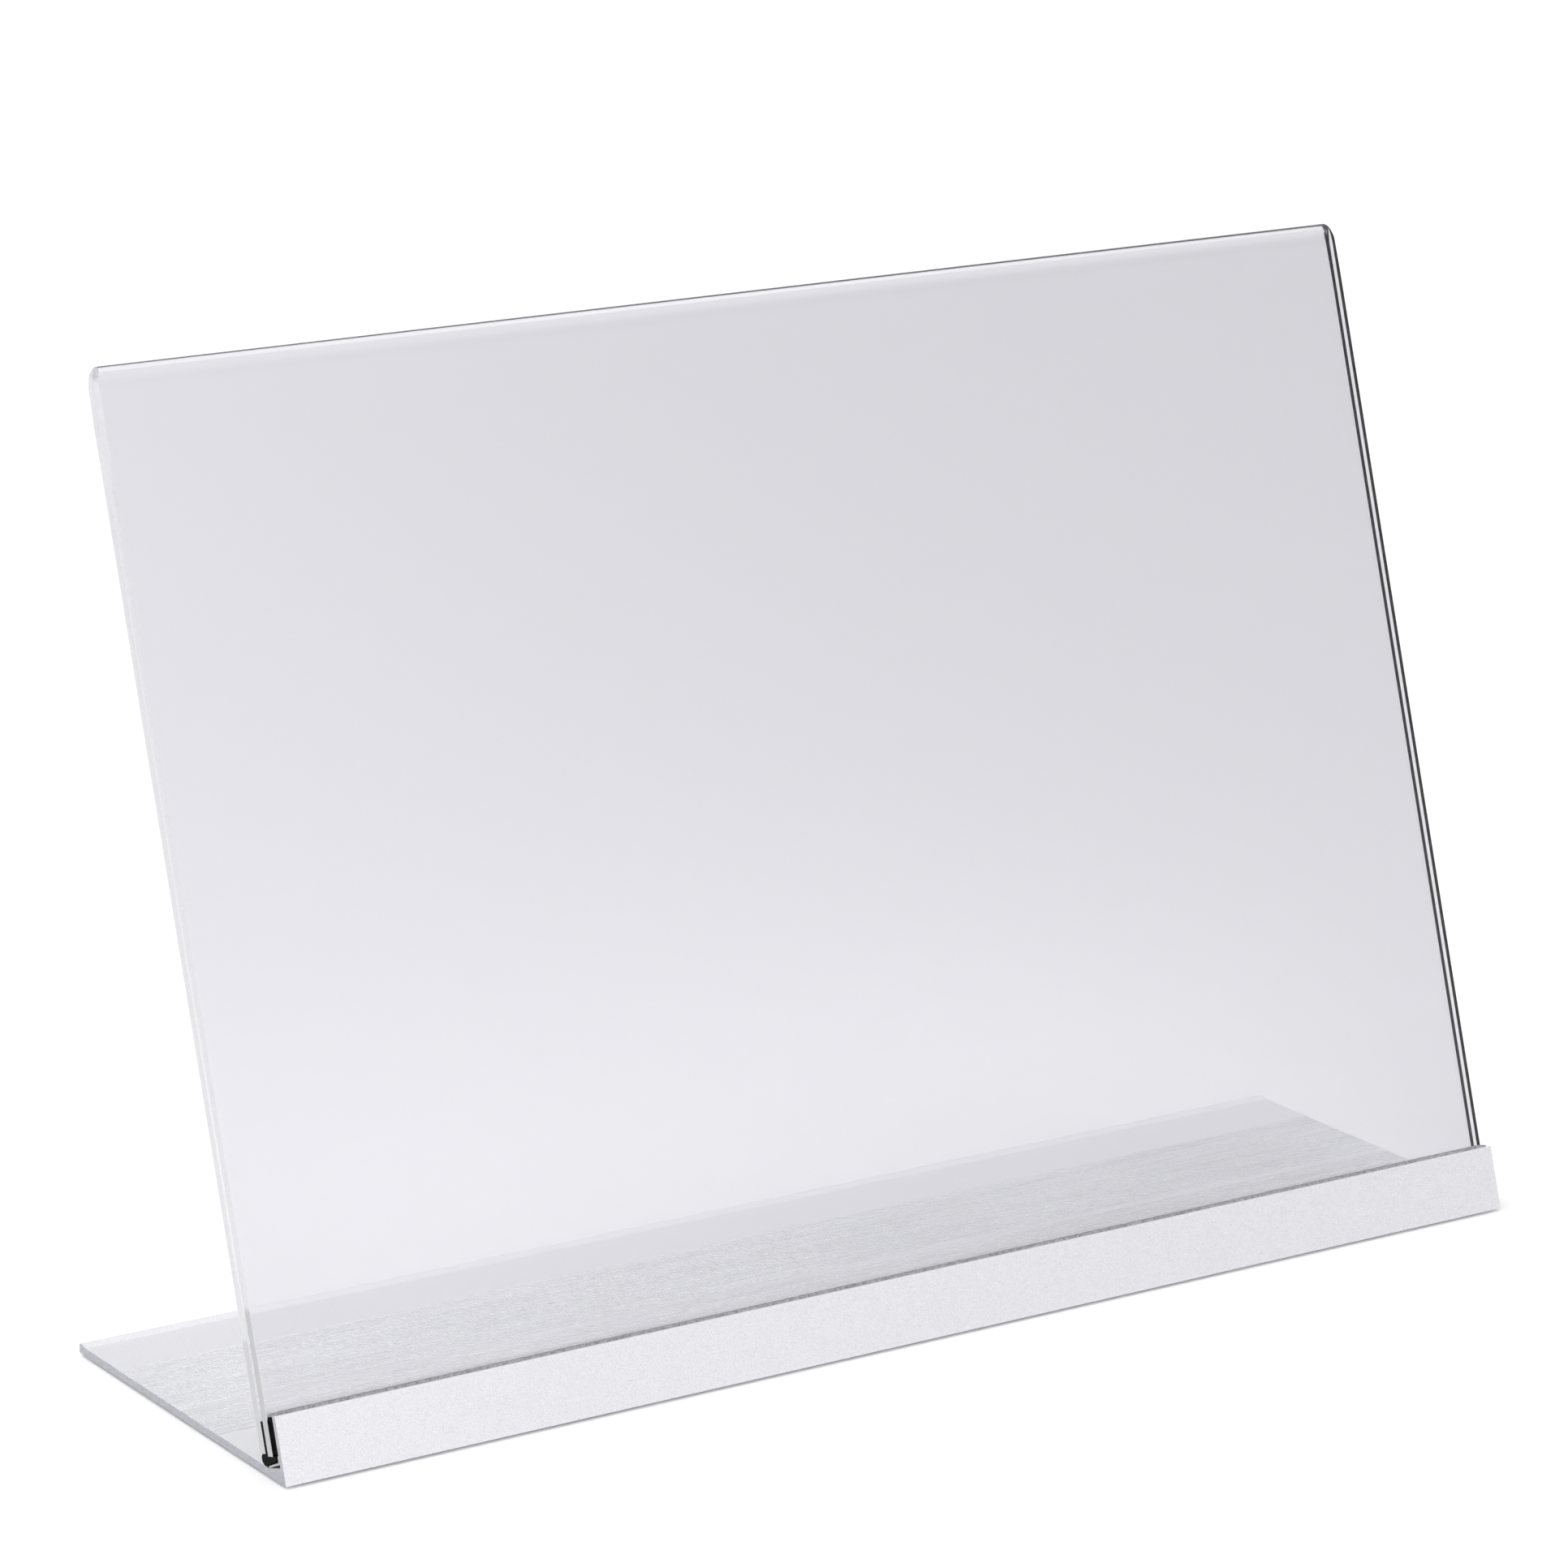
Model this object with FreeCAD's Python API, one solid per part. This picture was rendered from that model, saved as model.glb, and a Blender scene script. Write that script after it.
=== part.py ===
"""Table-top sign stand: a clear folded pocket that leans back in an aluminium foot.

An extruded aluminium foot has a flat ribbed base plate and a front lip that leans back over it.
One clear acrylic sheet, heat-bent double at its top edge, makes a side-loading pocket for a
landscape A4 sheet. Foam tape bonds the pocket's front leaf to the back of the lip, a rubber
T-section closes the pocket's bottom edge and carries it, and four pads stand under the plate.

Frame: millimetres, +X along the foot, +Y from front to back, +Z up. The origin is the centre of
the footprint, on the surface that the pads stand on.
"""

import FreeCAD
import Part
import math
import os

# Driving dimensions, in millimetres and degrees.
length = 300.0            # of the foot and of the pocket, end to end
lean = 17.0               # of the lip and the pocket, back from upright
depth = 88.0              # of the foot, front to back
sheet_height = 210.0      # of the landscape A4 insert that the pocket takes

pad_thickness = 0.6
pad_radius = 5.0
pad_inset_x = 15.0        # pad centre from the foot's end
pad_inset_y = 12.0        # pad centre from the foot's front or back edge
pad_edge_radius = 0.2

plate_thickness = 1.7
lip_height = 13.8         # along the slope
lip_thickness = 1.2
slot_floor = 3.65         # height of the slot's floor, along the slope
bead_height = 2.3         # of the foot's back edge
bead_width = 3.2
front_corner_radius = 0.15
lip_top_radius = 0.12
bead_front_drop = 0.55    # the bead's front shoulder is this much lower
bead_flank = 0.4          # half the run of the bead's sloping front
bead_radius = 0.7

rib_pitch = 1.0
rib_first = 28.0          # first groove from the foot's front edge
rib_places = 43           # groove places, counted from the front
rib_plain = (14, 15)      # places with no groove, which leave one wide land
groove_width = 0.50
groove_depth = 0.22

leaf_thickness = 2.0
pocket_gap = 1.0
foam_thickness = 2.4
foam_bottom = 6.2         # both along the slope
foam_top = 14.3           # it stands a little above the lip

seal_top = 5.9            # the front leaf stands here, along the slope
seal_step = 0.5           # the back leaf is this much shorter
seal_front = 2.4
seal_back = 8.45
seal_front_foot = 4.95    # height of its bottom corners, along the slope
seal_back_foot = 4.9
seal_front_radius = 0.3
seal_back_radius = 0.4
seal_shoulder = 0.6       # width of the step's back edge
seal_shoulder_radius = 0.2
stand_inset = 1.0         # from the seal's back to the corner that it stands on
stand_radius = 0.5
fin_top = 12.8
fin_thickness = 0.9
fin_radius = 0.3

film_thickness = 0.4
film_top = 6.0
film_heel = 4.35          # where its outside starts to turn up
film_inner_heel = 4.77    # and its inside
film_tail = 5.9
film_heel_radius = 0.5
film_inner_radius = 0.2

crown_radius = 2.3        # outside of the fold, at its crest
fold_height = 3.6         # from the leaves' straight stretch to the crest
crest_thickness = 1.6     # the sheet is stretched thinner over the fold
gap_taper = 3.2           # height over which the gap closes
sheet_clearance = 0.66    # between the insert's top edge and the inside of the fold
crest_draw = 0.8          # each end of the crest draws in by this much, as bent sheet does
draw_height = 4.5         # from where that starts to the crest
draw_half_way = 0.3       # share of the draw that is reached at half that height

# Worked-out places, in the slope's own axes: s is depth from the lip's front face, at a right
# angle to it, and t is height along it, both from the lip's bottom front edge.
pocket_front = lip_thickness + foam_thickness
pocket_thickness = 2 * leaf_thickness + pocket_gap
pocket_back = pocket_front + pocket_thickness
pocket_middle = pocket_front + pocket_thickness / 2
pocket_half = pocket_thickness / 2

# The fold's outside is a crown arc between two flank arcs, which touch it and the leaves.
crown_rise = fold_height - crown_radius
flank_radius = (pocket_half**2 + crown_rise**2 - crown_radius**2) / (2 * (pocket_half - crown_radius))
flank_offset = flank_radius - pocket_half
flank_turn = math.atan2(crown_rise, flank_offset)
# Its inside is two arcs, which touch the leaves' inner faces and meet in the middle.
gap_top = seal_top + sheet_height + sheet_clearance
taper_start = gap_top - gap_taper
inner_radius = ((pocket_gap / 2)**2 + gap_taper**2) / pocket_gap
inner_offset = inner_radius - pocket_gap / 2
inner_turn = math.asin(gap_taper / inner_radius)
pocket_top = gap_top + crest_thickness
spring = pocket_top - fold_height
slope_sin = math.sin(math.radians(lean))
slope_cos = math.cos(math.radians(lean))


def on_slope(s, t):
    """The point (y, z) of the frame at depth s and height t of the slope."""
    y = s * slope_cos + t * slope_sin - depth / 2
    z = -s * slope_sin + t * slope_cos + pad_thickness
    return y, z


def on_foot(y, z):
    """The point (y, z) of the frame at y from the foot's front edge and z above its underside."""
    return y - depth / 2, z + pad_thickness


def at(point):
    """A vector in the foot's left end plane."""
    return FreeCAD.Vector(-length / 2, point[0], point[1])


def outline(corners):
    """A closed wire through corners (point, radius), each with a tangent arc of its radius.

    A corner may instead be ("arc", middle point), which makes the edge between its
    neighbours a three-point arc.
    """
    plain = []
    bulge = {}
    for corner in corners:
        if corner[0] == "arc":
            bulge[len(plain) - 1] = at(corner[1])
        else:
            plain.append(corner)
    count = len(plain)
    edges = []
    starts = []
    ends = []
    arcs = []
    for i, (point, radius) in enumerate(plain):
        here = at(point)
        if radius == 0:
            starts.append(here)
            ends.append(here)
            arcs.append(None)
            continue
        to_last = (at(plain[i - 1][0]) - here).normalize()
        to_next = (at(plain[(i + 1) % count][0]) - here).normalize()
        half = to_last.getAngle(to_next) / 2
        run = radius / math.tan(half)
        middle = (to_last + to_next).normalize()
        starts.append(here + to_last * run)
        ends.append(here + to_next * run)
        arcs.append(here + middle * (radius / math.sin(half) - radius))
    for i in range(count):
        if arcs[i] is not None:
            edges.append(Part.Arc(starts[i], arcs[i], ends[i]).toShape())
        here, there = ends[i], starts[(i + 1) % count]
        if i in bulge:
            edges.append(Part.Arc(here, bulge[i], there).toShape())
        else:
            edges.append(Part.LineSegment(here, there).toShape())
    return Part.Wire(edges)


def extruded(corners):
    """A bar of that section, as long as the foot."""
    return Part.Face(outline(corners)).extrude(FreeCAD.Vector(length, 0, 0))


def grooves():
    """The top of the ribbed stretch, back to front: a shallow round groove at each place."""
    corners = []
    for place in reversed(range(rib_places)):
        if place in rib_plain:
            continue
        y = rib_first + place * rib_pitch
        corners.append((on_foot(y + groove_width / 2, plate_thickness), 0))
        corners.append(("arc", on_foot(y, plate_thickness - groove_depth)))
        corners.append((on_foot(y - groove_width / 2, plate_thickness), 0))
    return corners


def base_profile():
    """The aluminium foot: base plate, ribs, back bead, slot floor and leaning front lip."""
    # The slot's floor lies square to the lip and runs out where it meets the plate's top.
    floor_end = (slot_floor * slope_cos - plate_thickness) / slope_sin
    return extruded(
        [
            (on_foot(0, 0), front_corner_radius),
            (on_foot(depth, 0), bead_radius / 2),
            (on_foot(depth, bead_height), bead_radius),
            (on_foot(depth - bead_width + bead_flank, bead_height - bead_front_drop), 0),
            (on_foot(depth - bead_width - bead_flank, plate_thickness), 0),
        ]
        + grooves()
        + [
            (on_slope(floor_end, slot_floor), 0),
            (on_slope(lip_thickness, slot_floor), 0),
            (on_slope(lip_thickness, lip_height), lip_top_radius),
            (on_slope(0, lip_height), lip_top_radius),
        ]
    )


def drawn_end(side):
    """What the drawn-in end of the fold leaves out; side is -1 at the left and 1 at the right."""
    past = 2.0

    def place(x, t):
        """A point in front of the pocket, x out from its middle and t up the slope."""
        y, z = on_slope(pocket_front - past, t)
        return FreeCAD.Vector(side * x, y, z)

    end = length / 2
    start = place(end, pocket_top - draw_height)
    bend = place(end - crest_draw * draw_half_way, pocket_top - draw_height / 2)
    crest = place(end - crest_draw, pocket_top)
    high = place(end - crest_draw, pocket_top + past)
    far = place(end + past, pocket_top + past)
    low = place(end + past, pocket_top - draw_height)
    edges = [Part.Arc(start, bend, crest).toShape()]
    for here, there in ((crest, high), (high, far), (far, low), (low, start)):
        edges.append(Part.LineSegment(here, there).toShape())
    through = pocket_thickness + 2 * past
    run = FreeCAD.Vector(0, through * slope_cos, -through * slope_sin)
    return Part.Face(Part.Wire(edges)).extrude(run)


def acrylic_pocket():
    """The clear sheet, folded double at the top: outer skin up, over and down, then the gap."""

    def outside(side, angle):
        """A point of a flank's arc; side is -1 at the front leaf and 1 at the back one."""
        s = pocket_middle + side * (flank_radius * math.cos(angle) - flank_offset)
        return on_slope(s, spring + flank_radius * math.sin(angle))

    def inside(side, angle):
        """A point of the arc that closes the gap, with the same sides."""
        s = pocket_middle + side * (inner_radius * math.cos(angle) - inner_offset)
        return on_slope(s, taper_start + inner_radius * math.sin(angle))

    sheet = extruded(
        [
            (on_slope(pocket_front, seal_top), 0),
            (on_slope(pocket_front, spring), 0),
            ("arc", outside(-1, flank_turn / 2)),
            (outside(-1, flank_turn), 0),
            ("arc", on_slope(pocket_middle, pocket_top)),
            (outside(1, flank_turn), 0),
            ("arc", outside(1, flank_turn / 2)),
            (on_slope(pocket_back, spring), 0),
            (on_slope(pocket_back, seal_top + seal_step), 0),
            (on_slope(pocket_back - leaf_thickness, seal_top + seal_step), 0),
            (on_slope(pocket_back - leaf_thickness, taper_start), 0),
            ("arc", inside(1, inner_turn / 2)),
            (on_slope(pocket_middle, gap_top), 0),
            ("arc", inside(-1, inner_turn / 2)),
            (on_slope(pocket_front + leaf_thickness, taper_start), 0),
            (on_slope(pocket_front + leaf_thickness, seal_top), 0),
        ]
    )
    return sheet.cut([drawn_end(-1), drawn_end(1)])


def foam_tape():
    """The double-sided foam strip between the lip's back and the pocket's front leaf."""
    return extruded(
        [
            (on_slope(lip_thickness, foam_bottom), 0),
            (on_slope(pocket_front, foam_bottom), 0),
            (on_slope(pocket_front, foam_top), 0),
            (on_slope(lip_thickness, foam_top), 0),
        ]
    )


def bottom_seal():
    """The rubber T-section: a foot under both leaves and a fin between them."""
    fin_front = pocket_middle - fin_thickness / 2
    fin_back = pocket_middle + fin_thickness / 2
    # Its back corner stands on the plate's top; the sink makes up for the corner's rounding.
    stand = seal_back - stand_inset
    stand_sink = 0.052
    stand_height = (plate_thickness - stand_sink + stand * slope_sin) / slope_cos
    return extruded(
        [
            (on_slope(seal_front, seal_top), seal_front_radius),
            (on_slope(seal_front, seal_front_foot), seal_front_radius),
            (on_slope(stand, stand_height), stand_radius),
            (on_slope(seal_back, seal_back_foot), seal_back_radius),
            (on_slope(seal_back, seal_top), seal_back_radius),
            (on_slope(seal_back - seal_shoulder, seal_top + seal_step), seal_shoulder_radius),
            (on_slope(fin_back, seal_top + seal_step), 0),
            (on_slope(fin_back, fin_top), fin_radius),
            (on_slope(fin_front, fin_top), fin_radius),
            (on_slope(fin_front, seal_top), 0),
        ]
    )


def carrier_film():
    """The thin film under the rubber, turned up the lip's back at its front edge."""
    return extruded(
        [
            (on_slope(film_tail, slot_floor), 0),
            (on_slope(film_tail, slot_floor + film_thickness), 0),
            (on_slope(lip_thickness + film_thickness, film_inner_heel), film_inner_radius),
            (on_slope(lip_thickness + film_thickness, film_top), 0),
            (on_slope(lip_thickness, film_top), 0),
            (on_slope(lip_thickness, film_heel), film_heel_radius),
        ]
    )


def pad(x, y):
    """One round stick-on pad, with its lower edge eased."""
    disc = Part.makeCylinder(pad_radius, pad_thickness, FreeCAD.Vector(x, y, 0))
    rim = [e for e in disc.Edges if e.BoundBox.ZMax < pad_thickness / 2]
    return disc.makeFillet(pad_edge_radius, rim)


def save(name, shape):
    """Writes one sub-part and prints what it holds."""
    shape.exportStep(os.path.join("parts", name + ".step"))
    box = shape.BoundBox
    print(f"{name}: valid {shape.isValid()}, solids {len(shape.Solids)},"
          f" volume {shape.Volume:.1f}, x {box.XMin:.2f} to {box.XMax:.2f},"
          f" y {box.YMin:.2f} to {box.YMax:.2f}, z {box.ZMin:.2f} to {box.ZMax:.2f}")


os.makedirs("parts", exist_ok=True)
save("base_profile", base_profile())
save("acrylic_pocket", acrylic_pocket())
save("foam_tape", foam_tape())
save("bottom_seal", bottom_seal())
save("carrier_film", carrier_film())
for row, side_y in (("front", -1), ("rear", 1)):
    for end, side_x in (("left", -1), ("right", 1)):
        x = side_x * (length / 2 - pad_inset_x)
        y = side_y * (depth / 2 - pad_inset_y)
        save(f"pad_{row}_{end}", pad(x, y))
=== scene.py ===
import math

import bmesh
import bpy
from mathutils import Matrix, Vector, noise


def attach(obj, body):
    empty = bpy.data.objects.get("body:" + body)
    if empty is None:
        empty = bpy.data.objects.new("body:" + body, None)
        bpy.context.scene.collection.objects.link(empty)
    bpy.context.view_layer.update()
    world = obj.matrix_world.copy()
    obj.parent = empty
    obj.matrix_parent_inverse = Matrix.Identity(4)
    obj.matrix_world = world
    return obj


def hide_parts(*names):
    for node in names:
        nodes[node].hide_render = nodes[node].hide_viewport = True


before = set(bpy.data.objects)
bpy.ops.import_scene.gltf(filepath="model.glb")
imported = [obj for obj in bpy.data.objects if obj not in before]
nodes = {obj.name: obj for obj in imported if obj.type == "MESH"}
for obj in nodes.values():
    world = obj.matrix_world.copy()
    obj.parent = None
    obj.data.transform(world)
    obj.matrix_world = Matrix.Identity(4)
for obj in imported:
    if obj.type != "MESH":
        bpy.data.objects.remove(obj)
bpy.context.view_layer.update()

mm = 0.001
scene = bpy.context.scene

# s is depth from the lip's front face and t is height up its slope, both in mm
lean = math.radians(17.0)
footDepth = 88.0
padHeight = 0.6
halfLength = 150.0
lipBack = 1.2
leafFront = 3.6  # the foam lies between the lip's back and here


def slopePoint(x, s, t):
    y = s * math.cos(lean) + t * math.sin(lean) - footDepth / 2
    z = t * math.cos(lean) - s * math.sin(lean) + padHeight
    return Vector((x * mm, y * mm, z * mm))


def meshObject(name, verts, faces, smoothAngle=None):
    mesh = bpy.data.meshes.new(name)
    mesh.from_pydata([tuple(v) for v in verts], [], faces)
    shape = bmesh.new()
    shape.from_mesh(mesh)
    bmesh.ops.recalc_face_normals(shape, faces=shape.faces[:])
    shape.to_mesh(mesh)
    shape.free()
    if smoothAngle is not None:
        mesh.shade_smooth()
        mesh.set_sharp_from_angle(angle=math.radians(smoothAngle))
    obj = bpy.data.objects.new(name, mesh)
    scene.collection.objects.link(obj)
    return obj


def ringFaces(rings, size):
    faces = []
    for j in range(rings - 1):
        for i in range(size):
            k = (i + 1) % size
            faces.append((j * size + i, j * size + k, (j + 1) * size + k, (j + 1) * size + i))
    return faces


def wear(obj, *mats):
    obj.data.materials.clear()
    for mat in mats:
        obj.data.materials.append(mat)


def newMaterial(name):
    mat = bpy.data.materials.new(name)
    mat.use_nodes = True
    return mat, mat.node_tree, mat.node_tree.nodes["Principled BSDF"]


def addNode(tree, kind, inputs=None, **settings):
    node = tree.nodes.new(kind)
    for key, value in settings.items():
        setattr(node, key, value)
    for key, value in (inputs or {}).items():
        node.inputs[key].default_value = value
    return node


def feed(tree, socket, value):
    if isinstance(value, bpy.types.NodeSocket):
        tree.links.new(value, socket)
    elif isinstance(value, tuple):
        socket.default_value = (*value, 1)
    else:
        socket.default_value = value


def objectCoords(tree, stretch=(1, 1, 1)):
    coords = addNode(tree, "ShaderNodeTexCoord")
    mapping = addNode(tree, "ShaderNodeMapping", {"Scale": stretch})
    tree.links.new(coords.outputs["Object"], mapping.inputs["Vector"])
    return mapping.outputs["Vector"]


def noiseNode(tree, where, scale, detail, roughness):
    node = addNode(tree, "ShaderNodeTexNoise", {"Scale": scale, "Detail": detail, "Roughness": roughness})
    tree.links.new(where, node.inputs["Vector"])
    return node.outputs["Fac"]


def rampNode(tree, value, places, colors):
    node = addNode(tree, "ShaderNodeValToRGB")
    ramp = node.color_ramp
    while len(ramp.elements) < len(places):
        ramp.elements.new(0.5)
    for element, place, color in zip(ramp.elements, places, colors):
        element.position = place
        element.color = (*color, 1)
    tree.links.new(value, node.inputs["Fac"])
    return node.outputs["Color"]


def rangeNode(tree, value, low, high, toLow, toHigh, easing="LINEAR"):
    node = addNode(tree, "ShaderNodeMapRange",
                   {"From Min": low, "From Max": high, "To Min": toLow, "To Max": toHigh},
                   interpolation_type=easing)
    feed(tree, node.inputs["Value"], value)
    return node.outputs["Result"]


def mathNode(tree, operation, a, b=0.0):
    node = addNode(tree, "ShaderNodeMath", operation=operation)
    feed(tree, node.inputs[0], a)
    feed(tree, node.inputs[1], b)
    return node.outputs["Value"]


def colorMix(tree, amount, first, second, mode="MIX"):
    # a color mix has its colors in sockets 6 and 7 and its result in socket 2
    node = addNode(tree, "ShaderNodeMix", data_type="RGBA", blend_type=mode)
    feed(tree, node.inputs[0], amount)
    feed(tree, node.inputs[6], first)
    feed(tree, node.inputs[7], second)
    return node.outputs[2]


def shaderMix(tree, amount, first, second):
    node = addNode(tree, "ShaderNodeMixShader")
    feed(tree, node.inputs["Fac"], amount)
    tree.links.new(first, node.inputs[1])
    tree.links.new(second, node.inputs[2])
    return node.outputs[0]


def alongNode(tree, where, direction):
    node = addNode(tree, "ShaderNodeVectorMath", operation="DOT_PRODUCT")
    node.inputs[1].default_value = direction
    tree.links.new(where, node.inputs[0])
    return node.outputs["Value"]


def bumpNode(tree, shader, height, strength, distance, below=None):
    node = addNode(tree, "ShaderNodeBump", {"Strength": strength, "Distance": distance})
    tree.links.new(height, node.inputs["Height"])
    if below is not None:
        tree.links.new(below, node.inputs["Normal"])
    tree.links.new(node.outputs["Normal"], shader.inputs["Normal"])
    return node.outputs["Normal"]


def dimmed(color, share):
    return tuple(c * share for c in color)


# in each look, a noise is (scale, detail, roughness) and a bump is (strength, height in metres)
aluminiumLook = {
    "light": (0.92, 0.92, 0.93),
    "dark": (0.71, 0.71, 0.74),
    "grain": (5200.0, 3.0, 0.7),
    "grainStops": (0.36, 0.56),
    "grainBump": (0.45, 0.00008),
    "speckle": (3120.0, 2.0, 0.6),
    "speckleStops": (0.3, 0.7),
    "roughness": (0.46, 0.64),
    "streaks": (1.0, 3.0, 0.65),
    "streakStretch": (22.0, 1300.0, 1300.0),
    "streakStops": (0.36, 0.60),
    "streakColors": ((0.92, 0.92, 0.92), (1, 1, 1)),
    "streakBump": (0.2, 0.00003),
    "ribbed": (-0.0162, 0.0256),  # the ribs lie between these, in metres from the middle
    "cutColor": (0.56, 0.56, 0.59),
    "cutShade": 0.8,
    "sawLines": (1.0, 2.0, 0.6),
    "sawStretch": (1.0, 600.0, 4200.0),
    "sawStops": (0.35, 0.62),
    "endFacing": (0.8, 0.95),
}


def aluminiumMaterial(look):
    mat, tree, shader = newMaterial("etchedAluminium")
    plain = objectCoords(tree)
    grain = noiseNode(tree, plain, *look["grain"])
    etched = rampNode(tree, grain, look["grainStops"], (look["dark"], look["light"]))
    # the die leaves streaks along the ribs only
    place = addNode(tree, "ShaderNodeSeparateXYZ")
    tree.links.new(plain, place.inputs["Vector"])
    ribsFrom, ribsTo = look["ribbed"]
    onRibs = mathNode(tree, "MULTIPLY", mathNode(tree, "GREATER_THAN", place.outputs["Y"], ribsFrom),
                      mathNode(tree, "LESS_THAN", place.outputs["Y"], ribsTo))
    streaks = noiseNode(tree, objectCoords(tree, look["streakStretch"]), *look["streaks"])
    streakColor = rampNode(tree, streaks, look["streakStops"], look["streakColors"])
    streaked = colorMix(tree, onRibs, etched, streakColor, "MULTIPLY")
    # the sawn ends are duller
    geometry = addNode(tree, "ShaderNodeNewGeometry")
    facing = addNode(tree, "ShaderNodeSeparateXYZ")
    tree.links.new(geometry.outputs["Normal"], facing.inputs["Vector"])
    endwise = mathNode(tree, "ABSOLUTE", facing.outputs["X"])
    onEnd = rangeNode(tree, endwise, *look["endFacing"], 0.0, 1.0)
    sawLines = noiseNode(tree, objectCoords(tree, look["sawStretch"]), *look["sawLines"])
    sawnColor = rampNode(tree, sawLines, look["sawStops"],
                         (dimmed(look["cutColor"], look["cutShade"]), look["cutColor"]))
    tree.links.new(colorMix(tree, onEnd, streaked, sawnColor), shader.inputs["Base Color"])
    speckle = noiseNode(tree, plain, *look["speckle"])
    tree.links.new(rangeNode(tree, speckle, *look["speckleStops"], *look["roughness"]),
                   shader.inputs["Roughness"])
    shader.inputs["Metallic"].default_value = 1.0
    grainNormal = bumpNode(tree, shader, grain, *look["grainBump"])
    bumpNode(tree, shader, streaks, *look["streakBump"], grainNormal)
    return mat


acrylicLook = {
    "color": (0.955, 0.953, 0.96),
    "ior": 1.49,
    "haze": (18.0, 3.0, 0.6),
    "hazeStops": (0.55, 0.8),
    "roughness": (0.0, 0.02),
    "endRoughness": 0.04,
    "endGloss": 0.12,
    "frostRoughness": 0.6,
    "frostColors": ((0.66, 0.66, 0.67), (0.70, 0.70, 0.71)),
    "frostStops": (0.3, 0.7),
    "sawn": (1.0, 3.0, 0.6),
    "sawnStretch": (1.0, 300.0, 2600.0),
    "innerFrost": 0.07,  # share of frost on a cut end, met from inside and from outside
    "endFrost": 0.7,
}


def acrylicMaterial(look):
    mat, tree, shader = newMaterial("clearAcrylic")
    shader.inputs["Base Color"].default_value = (*look["color"], 1)
    shader.inputs["Transmission Weight"].default_value = 1.0
    shader.inputs["IOR"].default_value = look["ior"]
    haze = noiseNode(tree, objectCoords(tree), *look["haze"])
    tree.links.new(rangeNode(tree, haze, *look["hazeStops"], *look["roughness"]), shader.inputs["Roughness"])
    return mat


def cutEndMaterial(look):
    # light that a smooth cut end would mirror back inside is lost here, so it reads dark from within
    mat, tree, shader = newMaterial("acrylicCutEnd")
    tree.nodes.remove(shader)
    refraction = addNode(tree, "ShaderNodeBsdfRefraction",
                         {"IOR": look["ior"], "Roughness": look["endRoughness"]})
    refraction.inputs["Color"].default_value = (*look["color"], 1)
    gloss = addNode(tree, "ShaderNodeBsdfAnisotropic", {"Roughness": look["endGloss"]})
    frost = addNode(tree, "ShaderNodeBsdfDiffuse", {"Roughness": look["frostRoughness"]})
    sawn = noiseNode(tree, objectCoords(tree, look["sawnStretch"]), *look["sawn"])
    tree.links.new(rampNode(tree, sawn, look["frostStops"], look["frostColors"]), frost.inputs["Color"])
    side = addNode(tree, "ShaderNodeNewGeometry")
    outside = mathNode(tree, "SUBTRACT", 1.0, side.outputs["Backfacing"])
    frosting = rangeNode(tree, outside, 0.0, 1.0, look["innerFrost"], look["endFrost"])
    body = shaderMix(tree, frosting, refraction.outputs[0], frost.outputs[0])
    fresnel = addNode(tree, "ShaderNodeFresnel", {"IOR": look["ior"]})
    sheen = mathNode(tree, "MULTIPLY", fresnel.outputs["Fac"], outside)
    finished = shaderMix(tree, sheen, body, gloss.outputs[0])
    tree.links.new(finished, tree.nodes["Material Output"].inputs["Surface"])
    return mat


foamLook = {
    "colors": ((0.003, 0.003, 0.004), (0.012, 0.012, 0.013), (0.10, 0.10, 0.10)),
    "pits": (900.0, 4.0, 0.7),
    "pitStops": (0.45, 0.74, 0.80),
    "cells": 2600.0,
    "cellBump": (0.8, 0.00015),
    "topGrey": (0.42, 0.42, 0.43),
    "topGreyDim": 0.5,
    "topGreyGrain": (1900.0, 2.0, 0.6),
    "topGreyStops": (0.34, 0.62),
    "topGreyFrom": (13.55, 13.75),  # heights up the slope over which the lighter grey of the top edge starts
    "roughness": 0.92,
    "specular": 0.04,
}


def foamMaterial(look):
    mat, tree, shader = newMaterial("blackFoam")
    where = objectCoords(tree)
    foamColor = rampNode(tree, noiseNode(tree, where, *look["pits"]), look["pitStops"], look["colors"])
    # the open top edge of the strip is coloured a lighter, grainy grey
    upSlope = Vector((0, math.sin(lean), math.cos(lean)))
    greyStarts, greyFull = (slopePoint(0, 0, t).dot(upSlope) for t in look["topGreyFrom"])
    atTop = rangeNode(tree, alongNode(tree, where, upSlope), greyStarts, greyFull, 0.0, 1.0)
    topGreyColor = rampNode(tree, noiseNode(tree, where, *look["topGreyGrain"]), look["topGreyStops"],
                         (dimmed(look["topGrey"], look["topGreyDim"]), look["topGrey"]))
    tree.links.new(colorMix(tree, atTop, foamColor, topGreyColor), shader.inputs["Base Color"])
    shader.inputs["Roughness"].default_value = look["roughness"]
    shader.inputs["Specular IOR Level"].default_value = look["specular"]
    cells = addNode(tree, "ShaderNodeTexVoronoi", {"Scale": look["cells"]})
    tree.links.new(where, cells.inputs["Vector"])
    bumpNode(tree, shader, cells.outputs["Distance"], *look["cellBump"])
    return mat


rubberLook = {
    "colors": ((0.003, 0.003, 0.003), (0.012, 0.012, 0.012)),
    "mottle": (1400.0, 3.0, 0.6),
    "colorStops": (0.35, 0.7),
    "roughness": (0.67, 0.83),
    "roughStops": (0.3, 0.7),
    "specular": 0.06,
    "bump": (0.4, 0.00008),
}
padLook = {
    **rubberLook,
    "colors": ((0.02, 0.02, 0.021), (0.05, 0.05, 0.052)),
    "roughness": (0.62, 0.78),
}


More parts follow.
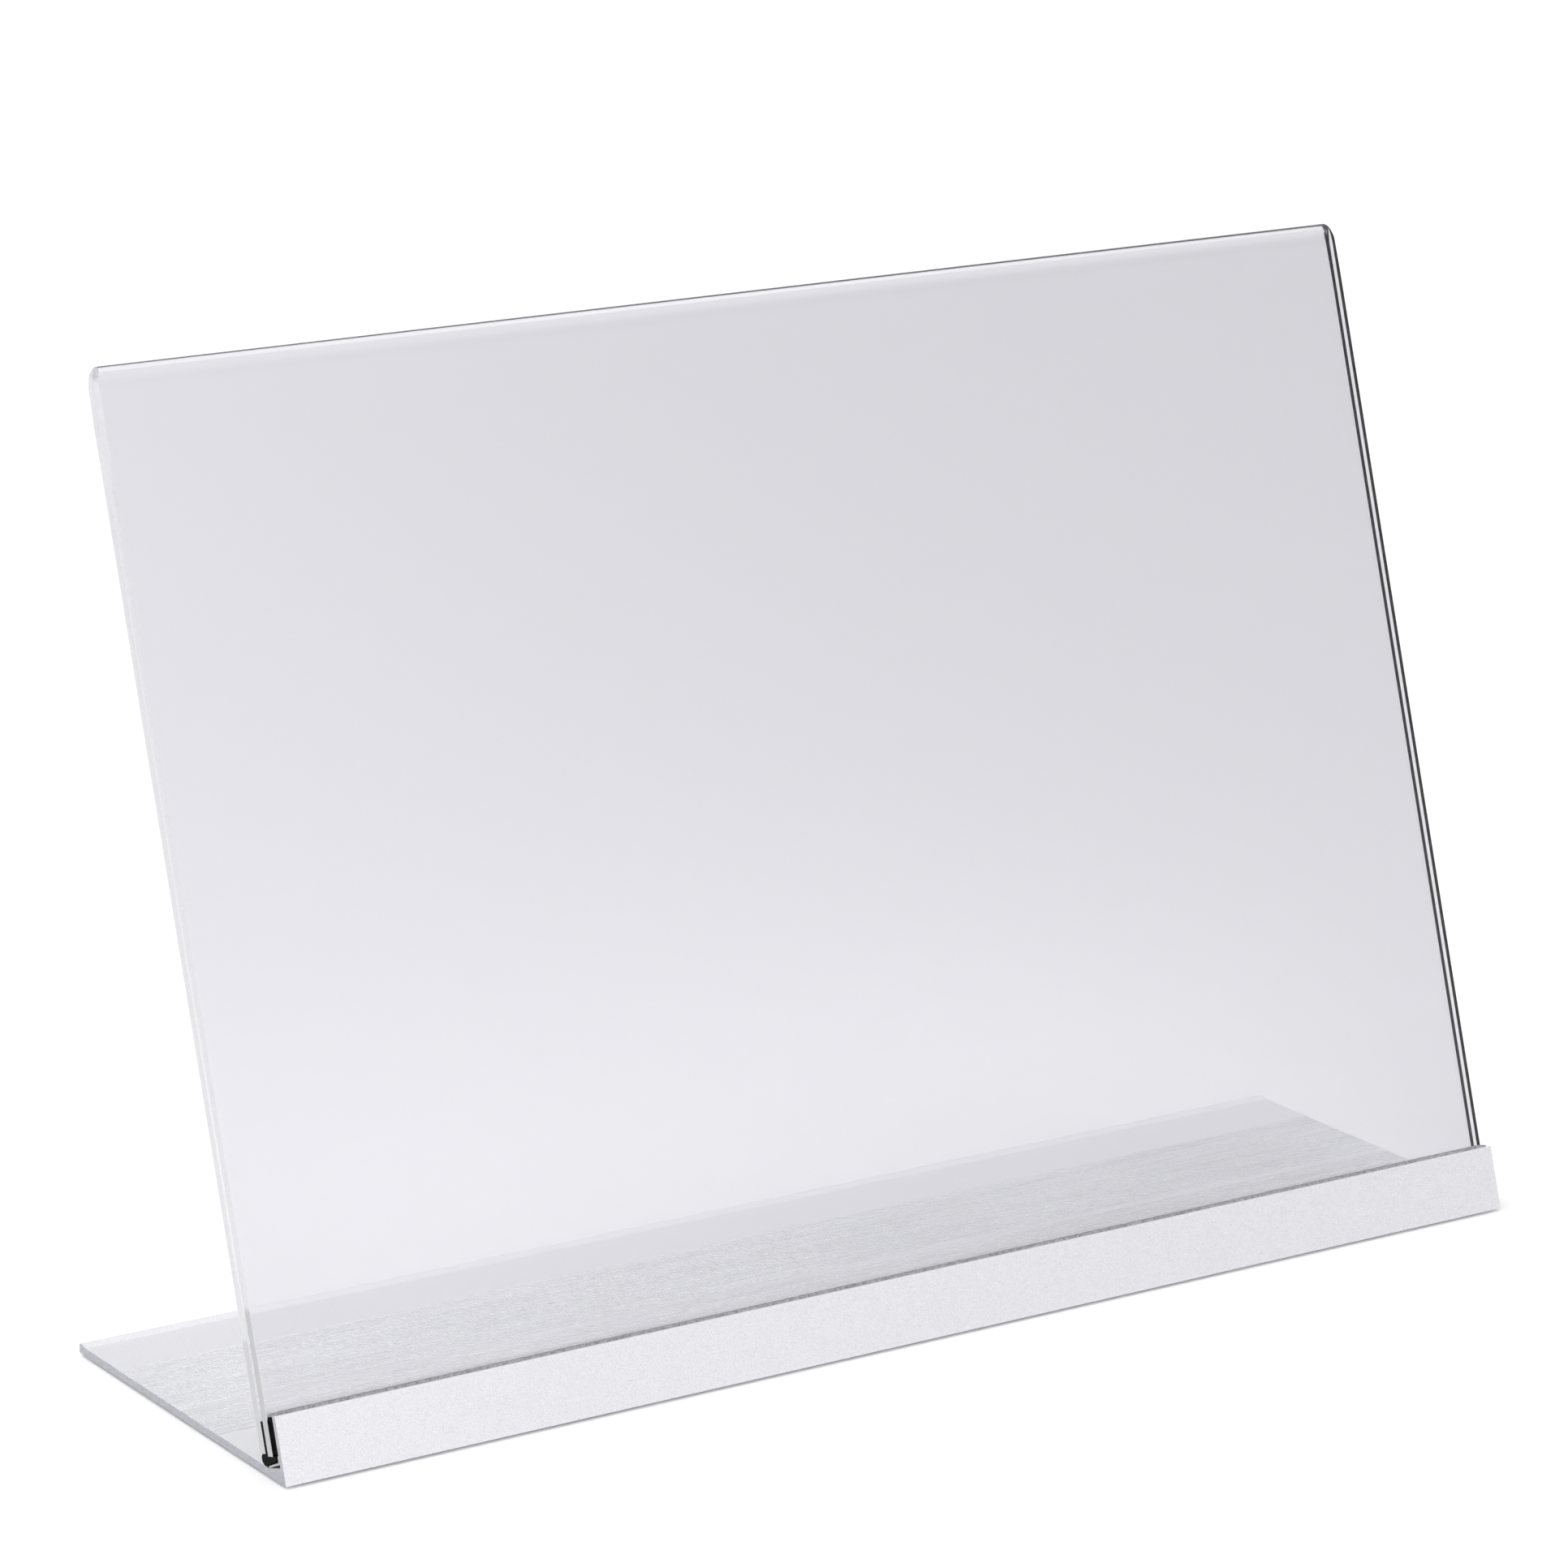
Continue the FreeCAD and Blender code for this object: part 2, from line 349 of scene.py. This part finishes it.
def rubberMaterial(name, look):
    mat, tree, shader = newMaterial(name)
    mottle = noiseNode(tree, objectCoords(tree), *look["mottle"])
    tree.links.new(rampNode(tree, mottle, look["colorStops"], look["colors"]), shader.inputs["Base Color"])
    tree.links.new(rangeNode(tree, mottle, *look["roughStops"], *look["roughness"]),
                   shader.inputs["Roughness"])
    shader.inputs["Specular IOR Level"].default_value = look["specular"]
    bumpNode(tree, shader, mottle, *look["bump"])
    return mat


filmLook = {
    "colors": ((0.30, 0.295, 0.285), (0.48, 0.475, 0.46)),
    "fibre": (2200.0, 4.0, 0.7),
    "stretch": (0.3, 1, 1),
    "stops": (0.3, 0.7),
    "roughness": 0.6,
    "bump": (0.3, 0.00005),
}


def filmMaterial(look):
    mat, tree, shader = newMaterial("paleFilm")
    fibre = noiseNode(tree, objectCoords(tree, look["stretch"]), *look["fibre"])
    tree.links.new(rampNode(tree, fibre, look["stops"], look["colors"]), shader.inputs["Base Color"])
    shader.inputs["Roughness"].default_value = look["roughness"]
    bumpNode(tree, shader, fibre, *look["bump"])
    return mat


# the folded acrylic pocket: two leaves, the fold over them, and the gap between
pocket = {
    "halfLength": halfLength,
    "front": leafFront,
    "thickness": 2.0,
    "gap": 1.0,
    "bottom": 5.9,
    "backStep": 0.5,  # the back leaf is this much shorter
    "top": 218.16,
    "foldHeight": 3.6,
    "crownRadius": 2.3,
    "crestThickness": 1.6,
    "gapTaper": 3.2,  # the gap closes over this height
    "taperWiden": 0.006,  # the next three keep the two sides of the closed gap off each other
    "crestSpread": 0.0004,
    "crestRise": 0.0002,
    "crestDraw": (1.0, 0.15),  # how far the fold's outside and inside draw in at each end
    "drawHeight": 4.8,
    "drawPower": 1.4,
    "edgeBreak": 0.03,
    "foldSteps": 14,
    "leafRows": 26,
    "lengthSteps": 60,
    "smoothAngle": 32,
}


def pocketProfile(p):
    # pairs of an outer and an inner point, each (s from the gap's middle, t), front foot to back foot
    half = p["thickness"] + p["gap"] / 2
    spring = p["top"] - p["foldHeight"]
    crown = p["crownRadius"]
    rise = p["foldHeight"] - crown
    flank = (half ** 2 + rise ** 2 - crown ** 2) / (2 * (half - crown))
    turn = math.atan2(rise, flank - half)
    gapHalf = p["gap"] / 2
    gapArc = (gapHalf ** 2 + p["gapTaper"] ** 2) / p["gap"]
    gapTurn = math.asin(p["gapTaper"] / gapArc)
    apex = p["top"] - p["crestThickness"]
    taperStart = apex - p["gapTaper"]
    rows = p["leafRows"]
    steps = p["foldSteps"]
    front = []
    for i in range(rows + 1):  # the straight leaf
        outerT = p["bottom"] + (spring - p["bottom"]) * i / rows
        innerT = p["bottom"] + (taperStart - p["bottom"]) * i / rows
        front.append(((-half, outerT), (-gapHalf, innerT)))
    for i in range(1, steps + 1):  # the flank outside, the closing gap inside
        a = turn * i / steps
        b = gapTurn * i / steps
        outer = (-(flank * math.cos(a) - (flank - half)), spring + flank * math.sin(a))
        innerS = -(gapArc * math.cos(b) - (gapArc - gapHalf)) - p["taperWiden"]
        front.append((outer, (innerS, taperStart + gapArc * math.sin(b))))
    for i in range(1, steps):  # the crown outside
        a = (math.pi / 2 - turn) * (1 - i / steps)
        outer = (-crown * math.sin(a), p["top"] - crown + crown * math.cos(a))
        front.append((outer, (-p["crestSpread"] * (steps - i), apex + p["crestRise"] * i)))
    crest = ((0.0, p["top"]), (0.0, apex + p["crestRise"] * steps))
    foot = p["bottom"] + p["backStep"]
    back = []
    for (outerS, outerT), (innerS, innerT) in reversed(front):
        back.append(((-outerS, max(outerT, foot)), (-innerS, max(innerT, foot))))
    return front + [crest] + back


def buildPocket(p):
    pairs = pocketProfile(p)
    loop = [outer for outer, inner in pairs] + [inner for outer, inner in reversed(pairs)]
    count = len(loop)
    middle = p["front"] + (p["thickness"] + p["gap"] / 2)
    breakBy = p["edgeBreak"]
    outsideDraw, insideDraw = p["crestDraw"]

    def normalAt(i):
        (s0, t0), (s1, t1) = loop[i - 1], loop[(i + 1) % count]
        normal = Vector((t1 - t0, -(s1 - s0)))
        return normal.normalized() if normal.length > 1e-9 else Vector((0, 0))

    def reachAt(i, t):
        drawn = max(0.0, (t - (p["top"] - p["drawHeight"])) / p["drawHeight"])
        draw = outsideDraw if i < len(pairs) else insideDraw
        return p["halfLength"] - draw * drawn ** p["drawPower"]

    # rings of points as (place along the length, how far in from the end, how far in from the faces)
    n = p["lengthSteps"]
    rings = [(-1.0, 0.0, breakBy), (-1.0, breakBy, 0.0)]
    rings += [(-1.0 + 2.0 * i / n, 0.0, 0.0) for i in range(1, n)]
    rings += [(1.0, breakBy, 0.0), (1.0, 0.0, breakBy)]
    verts = []
    for along, short, inset in rings:
        for i, (s, t) in enumerate(loop):
            x = along * (reachAt(i, t) - short)
            if inset:
                inward = normalAt(i)
                s, t = s + inward.x * inset, t + inward.y * inset
            verts.append(slopePoint(x, middle + s, t))
    faces = ringFaces(len(rings), count)
    lastRing = (len(rings) - 1) * count
    for base, flip in ((0, False), (lastRing, True)):
        for i in range(len(pairs) - 1):
            quad = (base + i, base + count - 1 - i, base + count - 2 - i, base + i + 1)
            faces.append(quad[::-1] if flip else quad)
    obj = meshObject("foldedPocket", verts, faces, p["smoothAngle"])
    wear(obj, acrylic, cutEnd)
    for face in obj.data.polygons:
        if abs(face.normal.x) > 0.5:
            face.material_index = 1
    return obj


# the foam strip between lip and pocket
foam = {
    "halfLength": halfLength,
    "front": lipBack,
    "back": leafFront,
    "bottom": 6.2,
    "top": 14.3,
    "topRagged": 0.22,
    "bottomRagged": 0.16,
    "waves": ((1.0, 0.9, 0.8, 3.0), (0.4, 3.1, 2.0, 9.0)),  # share, scale along x and s, place in the noise
    "endSlack": 0.25,
    "endGrain": 1.7,
    "endDip": 0.5,
    "lengthSteps": 400,
    "aroundSteps": (8, 20),
    "smoothAngle": 40,
}


def buildFoam(p):
    across, up = p["aroundSteps"]
    corners = [(p["front"], p["bottom"]), (p["back"], p["bottom"]),
               (p["back"], p["top"]), (p["front"], p["top"])]
    loop = []
    for (s0, t0), (s1, t1), steps in zip(corners, corners[1:] + corners[:1], (across, up, across, up)):
        for i in range(steps):
            loop.append((s0 + (s1 - s0) * i / steps, t0 + (t1 - t0) * i / steps))
    count = len(loop)

    def strayAt(x, s):
        stray = 0.0
        for share, scaleX, scaleS, place in p["waves"]:
            stray += share * abs(noise.noise(Vector((x * scaleX, s * scaleS, place))))
        return stray

    n = p["lengthSteps"]
    verts = []
    for j in range(n + 1):
        x = (-1 + 2 * j / n) * (p["halfLength"] - p["endSlack"])
        dip = p["endDip"] * math.exp(-(p["halfLength"] - abs(x)) / p["endSlack"])
        for s, t in loop:
            cutX = x
            cutT = t
            if j in (0, n):
                cutX += p["endSlack"] * noise.noise(Vector((s * p["endGrain"], t * p["endGrain"], j)))
            if t == p["top"]:
                cutT -= p["topRagged"] * strayAt(x, s) + dip
            elif t == p["bottom"]:
                cutT += p["bottomRagged"] * strayAt(x, s)
            verts.append(slopePoint(cutX, s, cutT))
    faces = ringFaces(n + 1, count)
    faces.append(tuple(range(count)))
    faces.append(tuple(reversed(range(n * count, n * count + count))))
    return meshObject("foamStrip", verts, faces, p["smoothAngle"])


aluminium = aluminiumMaterial(aluminiumLook)
acrylic = acrylicMaterial(acrylicLook)
cutEnd = cutEndMaterial(acrylicLook)
foamBlack = foamMaterial(foamLook)
rubber = rubberMaterial("blackRubber", rubberLook)
padRubber = rubberMaterial("padRubber", padLook)
film = filmMaterial(filmLook)
print("materials ready")

pocketPiece = buildPocket(pocket)
pocketPiece.visible_shadow = False  # clear sheet: the light goes through it
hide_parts("acrylic_pocket")
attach(pocketPiece, "root")
foamPiece = buildFoam(foam)
wear(foamPiece, foamBlack)
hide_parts("foam_tape")
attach(foamPiece, "root")
print("pocket and foam built")

wear(nodes["base_profile"], aluminium)
wear(nodes["bottom_seal"], rubber)
wear(nodes["carrier_film"], film)
for name in nodes:
    if name.startswith("pad_"):
        wear(nodes[name], padRubber)
print("carried-over parts finished")

# angles in degrees, places in metres; a lobe darkens the sky around one direction, and its width
# is the angle from its middle where it starts and where it reaches its level
studio = {
    "floorReach": 6.0,
    "floorColor": (0.93, 0.93, 0.93),
    "floorShadeThroughAcrylic": (0.73, 0.725, 0.74),  # painted shade: the floor's colour where it is seen through the acrylic, darker than its own
    "floorRoughness": 0.9,
    "floorSpecular": 0.1,
    "skyColor": (0.97, 0.97, 1.0),
    "skyStrength": 0.95,
    "flag": {"direction": (0.70, -0.63, 0.33), "width": (24.0, 4.0), "level": 0.05},  # mirrored by the leaf
    "backWall": {"direction": (0.22, 0.93, 0.22), "width": (50.0, 15.0), "level": 0.68},
    "skyPanel": {"energy": 0.75, "spread": 70.0, "tilt": (-12.0, -10.0)},
    "frontBox": {"energy": 21.0, "place": (-0.9, -2.2, 1.5), "size": (1.5, 1.0)},
    "bounces": 160,  # light runs the whole length of the clear sheet between its faces
}
viewpoint = {
    "place": (-0.6561, -0.9985, 0.4292),
    "azimuth": -33.0,
    "elevation": 15.03,
    "sensor": 36.0,
    "lens": 137.8174,
    "farEnd": 50.0,
}


def lobeNode(tree, where, lobe, outside):
    starts, full = (math.cos(math.radians(angle)) for angle in lobe["width"])
    facing = alongNode(tree, where, Vector(lobe["direction"]).normalized())
    return rangeNode(tree, facing, starts, full, outside, lobe["level"], "SMOOTHSTEP")


def lampObject(name, kind, energy):
    data = bpy.data.lights.new(name, kind)
    data.energy = energy
    obj = bpy.data.objects.new(name, data)
    scene.collection.objects.link(obj)
    return obj


reach = studio["floorReach"]
floorCorners = [(-reach, -reach, 0), (reach, -reach, 0), (reach, reach, 0), (-reach, reach, 0)]
floor = meshObject("floor", floorCorners, [(0, 1, 2, 3)])
floorMat, floorTree, floorShader = newMaterial("paleFloor")
floorShader.inputs["Roughness"].default_value = studio["floorRoughness"]
floorShader.inputs["Specular IOR Level"].default_value = studio["floorSpecular"]
# painted shade: the floor takes the darker colour for rays that reach it through the acrylic
lightPath = addNode(floorTree, "ShaderNodeLightPath")
floorTree.links.new(colorMix(floorTree, lightPath.outputs["Is Transmission Ray"],
                             studio["floorColor"], studio["floorShadeThroughAcrylic"]),
                    floorShader.inputs["Base Color"])
wear(floor, floorMat)

world = bpy.data.worlds.new("studioWorld")
world.use_nodes = True
scene.world = world
skyTree = world.node_tree
sky = skyTree.nodes["Background"]
sky.inputs["Color"].default_value = (*studio["skyColor"], 1)
skyCoords = addNode(skyTree, "ShaderNodeTexCoord").outputs["Generated"]
flagged = lobeNode(skyTree, skyCoords, studio["flag"], studio["skyStrength"])
walled = lobeNode(skyTree, skyCoords, studio["backWall"], 1.0)
skyTree.links.new(mathNode(skyTree, "MULTIPLY", flagged, walled), sky.inputs["Strength"])

skyPanel = lampObject("skyPanel", "SUN", studio["skyPanel"]["energy"])
skyPanel.data.angle = math.radians(studio["skyPanel"]["spread"])
tiltX, tiltY = (math.radians(angle) for angle in studio["skyPanel"]["tilt"])
skyPanel.rotation_euler = (tiltX, tiltY, 0)

frontBox = lampObject("frontBox", "AREA", studio["frontBox"]["energy"])
frontBox.data.shape = "RECTANGLE"
frontBox.data.size, frontBox.data.size_y = studio["frontBox"]["size"]
frontBox.location = studio["frontBox"]["place"]
frontBox.rotation_euler = (-Vector(studio["frontBox"]["place"])).to_track_quat("-Z", "Y").to_euler()

camData = bpy.data.cameras.new("camera")
camData.sensor_width = viewpoint["sensor"]
camData.lens = viewpoint["lens"]
camData.clip_end = viewpoint["farEnd"]
camera = bpy.data.objects.new("camera", camData)
scene.collection.objects.link(camera)
camera.location = viewpoint["place"]
azimuth = math.radians(viewpoint["azimuth"])
elevation = math.radians(viewpoint["elevation"])
backward = Vector((math.sin(azimuth) * math.cos(elevation),
                   -math.cos(azimuth) * math.cos(elevation),
                   math.sin(elevation)))
camera.rotation_euler = backward.to_track_quat("Z", "Y").to_euler()
scene.camera = camera
scene.view_settings.view_transform = "Standard"
scene.cycles.max_bounces = studio["bounces"]
scene.cycles.transmission_bounces = studio["bounces"]
scene.cycles.glossy_bounces = studio["bounces"]
print("studio ready")
